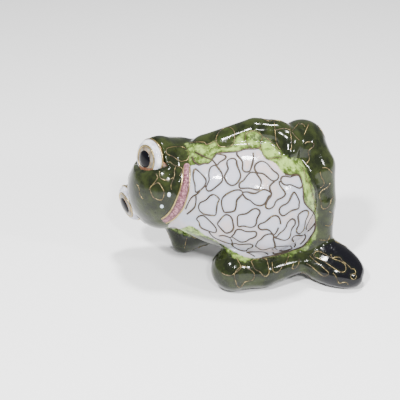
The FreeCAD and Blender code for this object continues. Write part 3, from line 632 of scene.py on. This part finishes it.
def add_group(name, inputs, outputs):
    """A new shader group's wiring, and the sockets that bring in its inputs."""
    group = bpy.data.node_groups.new(name, "ShaderNodeTree")
    for label, kind, default in inputs:
        socket = group.interface.new_socket(label, in_out="INPUT", socket_type=kind)
        if default is not None:
            socket.default_value = default
    for label, kind in outputs:
        group.interface.new_socket(label, in_out="OUTPUT", socket_type=kind)
    return Wiring(group), group.nodes.new("NodeGroupInput").outputs


class Wiring:
    """Adds nodes to a tree and joins them up."""

    def __init__(self, tree):
        self.tree = tree

    def add(self, kind, **settings):
        node = self.tree.nodes.new("ShaderNode" + kind)
        for key, value in settings.items():
            setattr(node, key, value)
        return node

    def join(self, source, target):
        self.tree.links.new(source, target)

    def feed(self, socket, value):
        """Give a socket a link, a colour or a number."""
        if isinstance(value, bpy.types.NodeSocket):
            self.join(value, socket)
        elif hasattr(value, "__len__"):
            socket.default_value = (*value, 1)
        else:
            socket.default_value = value

    def noise(self, place, scale, detail=3.0, rough=0.55):
        node = self.add("TexNoise")
        self.feed(node.inputs["Vector"], place)
        self.feed(node.inputs["Scale"], scale)
        node.inputs["Detail"].default_value = detail
        node.inputs["Roughness"].default_value = rough
        return node.outputs["Fac"]

    def cells(self, place, scale, output="Distance"):
        node = self.add("TexVoronoi")
        self.feed(node.inputs["Vector"], place)
        self.feed(node.inputs["Scale"], scale)
        return node.outputs[output]

    def fade(self, value, low, high, bottom=0.0, top=1.0):
        node = self.add("MapRange", interpolation_type="SMOOTHSTEP")
        self.feed(node.inputs["Value"], value)
        for label, number in (("From Min", low), ("From Max", high), ("To Min", bottom), ("To Max", top)):
            self.feed(node.inputs[label], number)
        return node.outputs["Result"]

    def sums(self, operation, a, b):
        node = self.add("Math", operation=operation)
        self.feed(node.inputs[0], a)
        self.feed(node.inputs[1], b)
        return node.outputs[0]

    def blend(self, share, first, second):
        node = self.add("Mix", data_type="RGBA")
        self.feed(node.inputs["Factor"], share)
        self.feed(node.inputs[6], first)
        self.feed(node.inputs[7], second)
        return node.outputs[2]

    def field(self, name):
        return self.add("Attribute", attribute_name=name).outputs["Fac"]

    def use(self, group, **values):
        node = self.add("Group", node_tree=bpy.data.node_groups[group])
        for label, value in values.items():
            self.feed(node.inputs[label.replace("_", " ")], value)
        return node.outputs

    def finish_group(self, **values):
        out = self.tree.nodes.new("NodeGroupOutput")
        for label, value in values.items():
            self.feed(out.inputs[label.replace("_", " ")], value)


def build_groups():
    """The effects that more than one finish uses."""
    wiring, given = add_group(
        "Enamel clouds",
        [("Place", "NodeSocketVector", None), ("Scale", "NodeSocketFloat", 300.0),
         ("Deep", "NodeSocketColor", None), ("Middle", "NodeSocketColor", None),
         ("Grains", "NodeSocketColor", None), ("Grain cover", "NodeSocketFloat", 0.5)],
        [("Color", "NodeSocketColor")])
    clouds = wiring.noise(given["Place"], given["Scale"], 4)
    mixed = wiring.blend(wiring.fade(clouds, 0.38, 0.64), given["Deep"], given["Middle"])
    fine = wiring.noise(given["Place"], wiring.sums("MULTIPLY", given["Scale"], 3.1), 6, 0.7)
    cover = wiring.sums("SUBTRACT", 1.0, given["Grain cover"])
    grains = wiring.fade(fine, cover, wiring.sums("ADD", cover, 0.16))
    wiring.finish_group(Color=wiring.blend(grains, mixed, given["Grains"]))

    wiring, given = add_group(
        "Fired surface",
        [("Place", "NodeSocketVector", None), ("Ripple", "NodeSocketFloat", 0.5),
         ("Pits", "NodeSocketFloat", 0.2)],
        [("Height", "NodeSocketFloat"), ("Roughness", "NodeSocketFloat")])
    wave = wiring.sums("MULTIPLY", wiring.noise(given["Place"], 420.0, 2), given["Ripple"])
    pits = wiring.fade(wiring.cells(given["Place"], 1100.0), 0.0, 0.16, -1.0, 0.0)
    height = wiring.sums("ADD", wave, wiring.sums("MULTIPLY", pits, given["Pits"]))
    rough = wiring.fade(wiring.noise(given["Place"], 900.0, 4), 0.35, 0.7, 0.06, 0.2)
    wiring.finish_group(Height=height, Roughness=rough)

    wiring, given = add_group(
        "Rubbed gilt",
        [("Place", "NodeSocketVector", None), ("Bright", "NodeSocketColor", None),
         ("Tarnish", "NodeSocketColor", None), ("Wear", "NodeSocketFloat", 0.5)],
        [("Color", "NodeSocketColor"), ("Metal", "NodeSocketFloat"), ("Roughness", "NodeSocketFloat")])
    patches = wiring.noise(given["Place"], 700.0, 5, 0.7)
    edge = wiring.sums("SUBTRACT", 1.0, given["Wear"])
    bare = wiring.fade(patches, wiring.sums("MULTIPLY", edge, 0.72), wiring.sums("ADD", edge, 0.12))
    wiring.finish_group(Color=wiring.blend(bare, given["Tarnish"], given["Bright"]),
                        Metal=wiring.fade(bare, 0.0, 1.0, 0.35, 1.0),
                        Roughness=wiring.fade(bare, 0.0, 1.0, 0.5, 0.28))


def new_material(name):
    material = bpy.data.materials.new(name)
    material.use_nodes = True
    wiring = Wiring(material.node_tree)
    shader = material.node_tree.nodes["Principled BSDF"]
    place = wiring.add("TexCoord").outputs["Object"]
    return material, wiring, shader, place


def bump(wiring, shader, height, distance):
    node = wiring.add("Bump")
    node.inputs["Strength"].default_value = 1
    node.inputs["Distance"].default_value = distance
    wiring.join(height, node.inputs["Height"])
    wiring.join(node.outputs["Normal"], shader.inputs["Normal"])


def glaze(shader):
    """A thin clear gloss over fired enamel."""
    for label, value in (("IOR", 1.45), ("Specular IOR Level", 0.25), ("Coat Weight", 0.15),
                         ("Coat Roughness", 0.03)):
        shader.inputs[label].default_value = value


def enamel_material():
    """The skin: dark green, with white, lime, pink and black fields, lighter or darker cells, and painted
    shade next to the wires.
    """
    c = colours()
    material, wiring, shader, place = new_material("fired_enamel")
    tint = wiring.field("cell_tint")
    wander = wiring.noise(place, 900.0, 5, 0.7)
    drift = wiring.sums("MULTIPLY", wiring.sums("SUBTRACT", wander, 0.5), 2.6)
    green = wiring.use("Enamel clouds", Place=place, Scale=210.0, Deep=c.bottle, Middle=c.olive,
                       Grains=c.leaf, Grain_cover=0.36)["Color"]
    bright = wiring.use("Enamel clouds", Place=place, Scale=330.0, Deep=c.olive, Middle=c.leaf,
                        Grains=c.lime, Grain_cover=0.33)["Color"]
    green = wiring.blend(wiring.fade(tint, 0.5, 1.0, 0.0, 0.55), green, bright)
    lime = wiring.use("Enamel clouds", Place=place, Scale=420.0, Deep=c.leaf, Middle=c.lime,
                      Grains=[min(1, x * 1.25) for x in c.lime], Grain_cover=0.5)["Color"]
    lime_share = wiring.fade(wiring.sums("ADD", wiring.field("lime_field"), drift), -0.5, 0.7)
    white = wiring.use("Enamel clouds", Place=place, Scale=85.0, Deep=c.white, Middle=c.blush,
                       Grains=[min(1, x * 1.15) for x in c.white], Grain_cover=0.4)["Color"]
    cool = wiring.fade(wiring.noise(place, 95.0, 2), 0.46, 0.66, 0.0, 0.5)
    white = wiring.blend(cool, white, c.shadow)
    white = wiring.blend(wiring.fade(tint, 0.0, 1.0, 0.0, 0.75), white, c.white)
    white_edge = wiring.sums("ADD", wiring.field("white_field"), wiring.sums("MULTIPLY", drift, 0.35))
    white_share = wiring.fade(white_edge, -0.15, 0.25)
    grit = wiring.cells(place, 2600.0, "Color")
    split = wiring.add("SeparateColor")
    wiring.join(grit, split.inputs[0])
    pink = wiring.blend(wiring.fade(split.outputs[0], 0.2, 0.9), [x * 0.55 for x in c.lip],
                        [min(1, x * 1.45 + 0.05) for x in c.lip])
    lip_share = wiring.fade(wiring.field("lip_field"), -0.1, 0.15)
    ink = wiring.use("Enamel clouds", Place=place, Scale=260.0, Deep=c.ink, Middle=c.ink,
                     Grains=[x * 0.5 for x in c.shadow], Grain_cover=0.3)["Color"]
    ink_share = wiring.fade(wiring.field("foot_field"), 0.0, 6.0)
    base = wiring.blend(lime_share, green, lime)
    base = wiring.blend(white_share, base, white)
    base = wiring.blend(ink_share, base, ink)
    base = wiring.blend(lip_share, base, pink)
    # Next to the wires the enamel is darkened, to bottle green on the green and blue grey on the white:
    # partly darker enamel pooled against the wires, partly painted shade at their foot.
    near = wiring.fade(wiring.field("wire_gap"), 0.1, 0.9, 0.5, 0.0)
    base = wiring.blend(near, base, wiring.blend(white_share, c.bottle, c.shadow))
    wiring.join(base, shader.inputs["Base Color"])
    surface = wiring.use("Fired surface", Place=place, Ripple=1.0, Pits=0.12)
    grain_height = wiring.sums("MULTIPLY", wiring.cells(place, 2600.0), lip_share)
    bump(wiring, shader, wiring.sums("ADD", surface["Height"], grain_height), 0.12 * MM)
    wiring.join(wiring.sums("ADD", surface["Roughness"], wiring.sums("MULTIPLY", lip_share, 0.25)),
                shader.inputs["Roughness"])
    glaze(shader)
    return material


def metal_material(name, bright, wear):
    """Metal that is bright where it is rubbed, and brown elsewhere."""
    material, wiring, shader, place = new_material(name)
    metal = wiring.use("Rubbed gilt", Place=place, Bright=bright, Tarnish=colours().rust, Wear=wear)
    for output, socket in (("Color", "Base Color"), ("Metal", "Metallic"),
                           ("Roughness", "Roughness")):
        wiring.join(metal[output], shader.inputs[socket])
    return material, wiring, shader, place


def gilt_material(name, wear):
    material, wiring, shader, place = metal_material(name, colours().gold, wear)
    bump(wiring, shader, wiring.noise(place, 2400.0, 4), 0.04 * MM)
    return material


def glass_material(name, deep, middle, grains, scale, cover):
    """A plain glossy enamel of one clouded colour."""
    material, wiring, shader, place = new_material(name)
    clouds = wiring.use("Enamel clouds", Place=place, Scale=scale, Deep=deep, Middle=middle,
                        Grains=grains, Grain_cover=cover)
    wiring.join(clouds["Color"], shader.inputs["Base Color"])
    surface = wiring.use("Fired surface", Place=place, Ripple=0.4, Pits=0.05)
    bump(wiring, shader, surface["Height"], 0.05 * MM)
    wiring.join(surface["Roughness"], shader.inputs["Roughness"])
    glaze(shader)
    return material


# ---------------------------------------------------------------- operators

class FROG_OT_enamel_skin(bpy.types.Operator):
    """Melt every enamel part into one smooth skin"""
    bl_idname = "frog.enamel_skin"
    bl_label = "Enamel skin"

    def execute(self, context):
        nodes = [name for name in frame["nodes"] if "_enamel" in name]
        add_piece(melted_skin(), "enamel_skin", None, "green_enamel", *nodes)
        return {"FINISHED"}


class FROG_OT_belly_wires(bpy.types.Operator):
    """Bend the drawn loops and strands onto the belly"""
    bl_idname = "frog.belly_wires"
    bl_label = "Belly wires"

    def execute(self, context):
        thickness = sizes().belly_wire
        runs = drawn_runs(BELLY_LOOPS, BELLY_STRANDS, thickness)
        wire_piece("belly_wires", runs, thickness, gilt_material("brown_gilt", 0.26), 3,
                   "belly_cell_wires", "belly_wire_upper", "belly_wire_lower",
                   "flank_wire_upper", "flank_wire_lower")
        return {"FINISHED"}


class FROG_OT_lip_wires(bpy.types.Operator):
    """Edge the lips with bright wire"""
    bl_idname = "frog.lip_wires"
    bl_label = "Lip wires"

    def execute(self, context):
        thickness = sizes().belly_wire
        runs = drawn_runs([], LIP_STRANDS, thickness)
        wire_piece("lip_wires", runs, thickness, gilt_material("lip_gilt", 0.62), 5,
                   "lip_wire_face", "lip_wire_throat")
        return {"FINISHED"}


class FROG_OT_green_wires(bpy.types.Operator):
    """Lay thin bright wires on the face, arm, legs and foot"""
    bl_idname = "frog.green_wires"
    bl_label = "Green wires"

    def execute(self, context):
        thickness = sizes().green_wire
        runs = drawn_runs(GREEN_LOOPS, GREEN_STRANDS, thickness)
        wire_piece("green_wires", runs, thickness, gilt_material("bright_gilt", 0.42), 8,
                   "head_cell_wires", "left_leg_cell_wires", "left_arm_cell_wires",
                   "right_leg_cell_wires", "right_foot_cell_wires")
        return {"FINISHED"}


class FROG_OT_back_wires(bpy.types.Operator):
    """Set out cells over the back and the hidden sides"""
    bl_idname = "frog.back_wires"
    bl_label = "Back wires"

    def execute(self, context):
        thickness = sizes().green_wire
        tree = skin_tree()
        sink = thickness * WIRE_SINK
        laid = [(cell, lay_cell(tree, cell, sink)) for cell in scattered_cells(tree)]
        laid = [(cell, points) for cell, points in laid if points]
        CELLS.extend(cell for cell, _ in laid)
        wire_piece("back_wires", [(points, True) for _, points in laid], thickness,
                   bpy.data.materials["bright_gilt"], 9, "back_cell_wires", "right_arm_cell_wires")
        return {"FINISHED"}


class FROG_OT_enamel_fields(bpy.types.Operator):
    """Work out which enamel lies where on the skin, and give the skin its finish"""
    bl_idname = "frog.enamel_fields"
    bl_label = "Enamel fields"

    def execute(self, context):
        mesh = bpy.data.objects["enamel_skin"].data
        tree = skin_tree()
        places = [vert.co.copy() for vert in mesh.vertices]
        normals = [normal.vector.copy() for normal in mesh.vertex_normals]
        flat = np.array([(place.x, place.dot(SHEET_UP)) for place in places]) / MM
        group_gap = {name: node_gap(places, nodes) for name, nodes in GROUPS.items()}
        seen = np.array([normal.dot(SHEET_OUT) > 0.02 and seen_by_sheet(tree, place, normal)
                         for place, normal in zip(places, normals)])
        facing = np.array([normal.dot(SHEET_OUT) for normal in normals])
        others = np.minimum(group_gap["limbs"], np.minimum(group_gap["head"], group_gap["feet"]))
        torso = others - group_gap["torso"]
        drawn = np.where(seen, 5.0, np.minimum(torso, facing * 12 + 1))
        white = np.minimum(inside(flat, WHITE_FIELD), drawn)
        lime = np.minimum(inside(flat, LIME_FIELD), drawn)
        lip = np.where(seen, inside(flat, LIP_FIELD), 0.5 - group_gap["lip"])
        head_side = group_gap["torso"] - group_gap["head"]
        foot = np.minimum((np.minimum(group_gap["limbs"], group_gap["torso"])
                           - group_gap["feet"]) * 4, flat[:, 0] - 20)
        white = np.minimum(white, 2.5 - head_side)
        # How far each point is from a wire; the finish paints shade next to the wires from it.
        wires = wire_tree()
        gap = np.array([wires.find(place)[2] for place in places]) / MM
        fields = {"white_field": white, "lime_field": lime, "lip_field": lip, "foot_field": foot,
                  "wire_gap": gap, "cell_tint": self.tints(places, normals, flat, seen)}
        for name, values in fields.items():
            mesh.attributes.new(name, "FLOAT", "POINT").data.foreach_set("value", values)
        rise = np.clip(lip / 0.9, 0, 1) * sizes().lip_rise
        for vert, normal, up in zip(mesh.vertices, normals, rise):
            if up > 0:
                vert.co += normal * up
        mesh.materials.append(enamel_material())
        return {"FINISHED"}

    @staticmethod
    def tints(places, normals, flat, seen):
        """A shade for each cell, from 0 to 1; between the cells it is 0."""
        chance = np.random.default_rng(21)
        tint = np.zeros(len(places))
        for outline in BELLY_LOOPS + GREEN_LOOPS:
            tint = np.where(seen & (inside(flat, outline) > 0), chance.uniform(0.3, 1), tint)
        spots = np.array(places)
        for centre, normal, size, side, outline in CELLS:
            near = np.flatnonzero(np.linalg.norm(spots - np.array(centre), axis=1) < size * 1.8)
            arm = (spots[near] - np.array(centre)) / MM
            local = np.stack([arm @ np.array(side), arm @ np.array(normal.cross(side))], 1)
            within = near[inside(local, outline) > 0]
            tint[within] = chance.uniform(0.2, 1)
        return tint


class FROG_OT_eyes(bpy.types.Operator):
    """Turn the rims, whites, irises and pupils of both eyes"""
    bl_idname = "frog.eyes"
    bl_label = "Eyes"

    def execute(self, context):
        c = colours()
        finishes = {
            "white": glass_material("eye_white", c.white, (0.75, 0.75, 0.78), (0.8, 0.8, 0.82),
                                    250, 0.4),
            "iris": glass_material("iris_glass", (0.10, 0.085, 0.06), (0.22, 0.20, 0.17),
                                   (0.24, 0.12, 0.03), 380, 0.5),
            "pupil": glass_material("pupil_glass", c.ink, c.ink, (0.006, 0.006, 0.008), 300, 0.2),
        }
        gloss = finishes["pupil"].node_tree.nodes["Principled BSDF"].inputs
        gloss["Specular IOR Level"].default_value = 0.1
        gloss["Coat Weight"].default_value = 0.06
        slots = {"white": "white_enamel", "iris": "amber_enamel", "pupil": "black_enamel"}
        rim = gilt_material("rim_gilt", 0.6)
        for side, (centre, axis) in EYES.items():
            for part, section in EYE_SECTIONS.items():
                name = f"{side}_eye_{part}"
                add_piece(turned(section, centre, axis), name + "_glass", finishes.get(part, rim),
                          slots.get(part, "gilt_wire"), name)
        return {"FINISHED"}


class FROG_OT_nostrils(bpy.types.Operator):
    """Put two small pale beads of enamel on the snout"""
    bl_idname = "frog.nostrils"
    bl_label = "Nostrils"

    def execute(self, context):
        tree = skin_tree()
        bm = bmesh.new()
        for (across, up), long, wide in NOSTRILS:
            place, normal = fall(tree, across, up)
            turn = normal.to_track_quat("Z", "Y").to_matrix().to_4x4()
            shape = Matrix.Diagonal((wide * MM, long * MM, 0.3 * MM, 1))
            bmesh.ops.create_uvsphere(bm, u_segments=24, v_segments=14, radius=1,
                                      matrix=Matrix.Translation(place) @ turn @ shape)
        pale = glass_material("pale_glass", (0.42, 0.52, 0.62), (0.62, 0.70, 0.78), (0.8, 0.85, 0.9),
                              600, 0.4)
        add_piece(mesh_from(bm), "nostril_beads", pale, "pale_enamel", "nostril_dots")
        return {"FINISHED"}


class FROG_OT_vent_ring(bpy.types.Operator):
    """Ring the small hole that lets the hollow body breathe in the kiln, and cover the hole with a black
    disc: painted shade for its dark inside
    """
    bl_idname = "frog.vent_ring"
    bl_label = "Vent ring"

    def execute(self, context):
        place, axis = VENT
        spot, normal = skin_tree().ray_cast(place + axis * 5 * MM, -axis)[:2]
        # The dark part is painted shade: black pupil glass where the hole's inside would be dark.
        for part, finish, slot in (("ring", "rim_gilt", "gilt_wire"),
                                   ("dark", "pupil_glass", "black_enamel")):
            add_piece(turned(VENT_SECTIONS[part], spot, normal), "vent_" + part,
                      bpy.data.materials[finish], slot)
        return {"FINISHED"}


class FROG_OT_copper(bpy.types.Operator):
    """Give the copper shells inside the enamel their finish"""
    bl_idname = "frog.copper"
    bl_label = "Copper"

    def execute(self, context):
        material = metal_material("fired_copper", colours().copper, 0.5)[0]
        for name in COPPER_NODES:
            piece = frame["nodes"][name]
            if not piece.material_slots:
                piece.data.materials.append(material)
            for slot in piece.material_slots:
                slot.material = material
        return {"FINISHED"}


class FROG_OT_stage(bpy.types.Operator):
    """Set the floor, the soft lights and the camera"""
    bl_idname = "frog.stage"
    bl_label = "Stage"

    def execute(self, context):
        bm = bmesh.new()
        bmesh.ops.create_grid(bm, x_segments=1, y_segments=1, size=3)
        floor = new_object("floor", mesh_from(bm))
        material, wiring, shader, place = new_material("pale_floor")
        grey = wiring.blend(wiring.noise(place, 4.0), (0.93, 0.93, 0.93), (0.96, 0.96, 0.96))
        wiring.join(grey, shader.inputs["Base Color"])
        shader.inputs["Roughness"].default_value = 0.8
        floor.data.materials.append(material)
        world = bpy.data.worlds.new("studio")
        world.use_nodes = True
        sky = world.node_tree.nodes["Background"].inputs
        sky["Color"].default_value = (1, 1, 1, 1)
        sky["Strength"].default_value = 0.5
        context.scene.world = world
        for name, (place, size, power) in LAMPS.items():
            light = bpy.data.lights.new(name, "AREA")
            light.shape = "DISK"
            light.size = size
            light.energy = power
            lamp = new_object(name, light)
            lamp.location = place
            lamp.rotation_euler = (Vector(place) - LAMPS_AIM).to_track_quat("Z", "Y").to_euler()
        camera = bpy.data.cameras.new("camera")
        camera.sensor_width = 36
        camera.lens = camera.sensor_width * CAMERA_GAP / VIEW_WIDE
        camera.clip_start = 0.01
        view = new_object("camera", camera)
        view.location = CAMERA_AIM + SHEET_OUT * CAMERA_GAP
        view.rotation_euler = SHEET_OUT.to_track_quat("Z", "Y").to_euler()
        context.scene.camera = view
        return {"FINISHED"}


STEPS = ("enamel_skin", "belly_wires", "lip_wires", "green_wires", "back_wires", "enamel_fields",
         "eyes", "nostrils", "vent_ring", "copper", "stage")


class FROG_PT_panel(bpy.types.Panel):
    """The frog's sizes, colours and making steps"""
    bl_label = "Cloisonne frog"
    bl_idname = "FROG_PT_panel"
    bl_space_type = "VIEW_3D"
    bl_region_type = "UI"
    bl_category = "Frog"

    def draw(self, context):
        for group in (context.scene.frog_sizes, context.scene.frog_colours):
            box = self.layout.box()
            for key in group.bl_rna.properties.keys():
                if key not in {"rna_type", "name"}:
                    box.prop(group, key)
        for step in STEPS:
            self.layout.operator("frog." + step)


CLASSES = (FrogSizes, FrogColours, FROG_OT_enamel_skin, FROG_OT_belly_wires, FROG_OT_lip_wires,
           FROG_OT_green_wires, FROG_OT_back_wires, FROG_OT_enamel_fields, FROG_OT_eyes,
           FROG_OT_nostrils, FROG_OT_vent_ring, FROG_OT_copper, FROG_OT_stage, FROG_PT_panel)


def register():
    for item in CLASSES:
        bpy.utils.register_class(item)
    bpy.types.Scene.frog_sizes = PointerProperty(type=FrogSizes)
    bpy.types.Scene.frog_colours = PointerProperty(type=FrogColours)


def unregister():
    del bpy.types.Scene.frog_colours
    del bpy.types.Scene.frog_sizes
    for item in reversed(CLASSES):
        bpy.utils.unregister_class(item)


def main():
    register()
    build_groups()
    for step in STEPS:
        getattr(bpy.ops.frog, step)()


if __name__ == "__main__":
    main()
